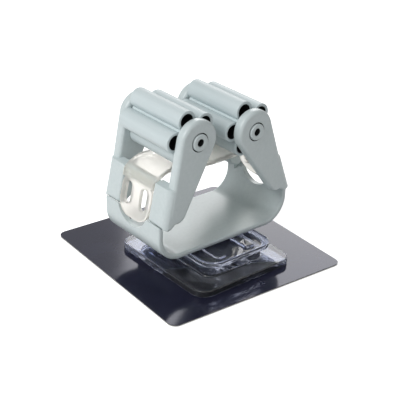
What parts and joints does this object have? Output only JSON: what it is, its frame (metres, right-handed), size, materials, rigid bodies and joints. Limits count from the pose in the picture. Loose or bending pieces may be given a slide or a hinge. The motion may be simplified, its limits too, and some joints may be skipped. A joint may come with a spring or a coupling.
{
  "type": "broom holder",
  "caption": "Self-adhesive wall holder that grips a broom handle between sprung jaws with lobed rollers; its U-shaped cradle slides off a clear mount.",
  "frame": {"origin": "middle of the adhesive sheet's underside, where it meets the wall", "axes": "+Z out of the wall, Y along the gripped handle with the mount's stop at the +Y end, X across the jaws"},
  "size_m": [0.089, 0.089, 0.072],
  "materials": {
    "body_plastic": "satin gloss, grey green",
    "roller": "smooth soft satin, grey green",
    "band": "milky translucent elastomer",
    "clear_plastic": "clear, polished",
    "film": "dark blue grey, mirror gloss",
    "adhesive": "smooth tacky gel",
    "steel": "drawn wire",
    "bush": "moulded"
  },
  "bodies": {
    "base": {"adhesive_layer": "adhesive", "backing_film": "film", "clear_mount": "clear_plastic"},
    "cradle": {"cradle": "body_plastic", "elastic_band": "band", "hinge_pin_left_front": "steel", "hinge_pin_left_back": "steel", "hinge_pin_right_front": "steel", "hinge_pin_right_back": "steel"},
    "jaw_left": {"jaw_left": "body_plastic", "axle_left": "steel", "axle_plug_left_front": "body_plastic", "axle_plug_left_back": "body_plastic"},
    "roller_left": {"roller_left": "roller", "roller_bush_left": "bush"},
    "jaw_right": {"jaw_right": "body_plastic", "axle_right": "steel", "axle_plug_right_front": "body_plastic", "axle_plug_right_back": "body_plastic"},
    "roller_right": {"roller_right": "roller", "roller_bush_right": "bush"}
  },
  "joints": [
    {"name": "cradle_slide", "type": "slide", "parent": "base", "child": "cradle", "axis": [0, -1, 0], "range_m": [0, 0.045]},
    {"name": "jaw_left_hinge", "type": "hinge", "parent": "cradle", "child": "jaw_left", "pos_m": [-0.03105, 0, 0.0294], "axis": [0, -1, 0], "range_deg": [-3, 22], "stiffness_Nm_per_rad": 0.3, "deforming": ["elastic_band"]},
    {"name": "roller_left_spin", "type": "hinge", "parent": "jaw_left", "child": "roller_left", "pos_m": [-0.01764, 0, 0.06057], "axis": [0, 1, 0], "continuous": true},
    {"name": "jaw_right_hinge", "type": "hinge", "parent": "cradle", "child": "jaw_right", "pos_m": [0.02945, 0, 0.0294], "axis": [0, 1, 0], "range_deg": [-3, 22], "stiffness_Nm_per_rad": 0.3, "deforming": ["elastic_band"]},
    {"name": "roller_right_spin", "type": "hinge", "parent": "jaw_right", "child": "roller_right", "pos_m": [0.01092, 0, 0.05783], "axis": [0, 1, 0], "continuous": true}
  ]
}
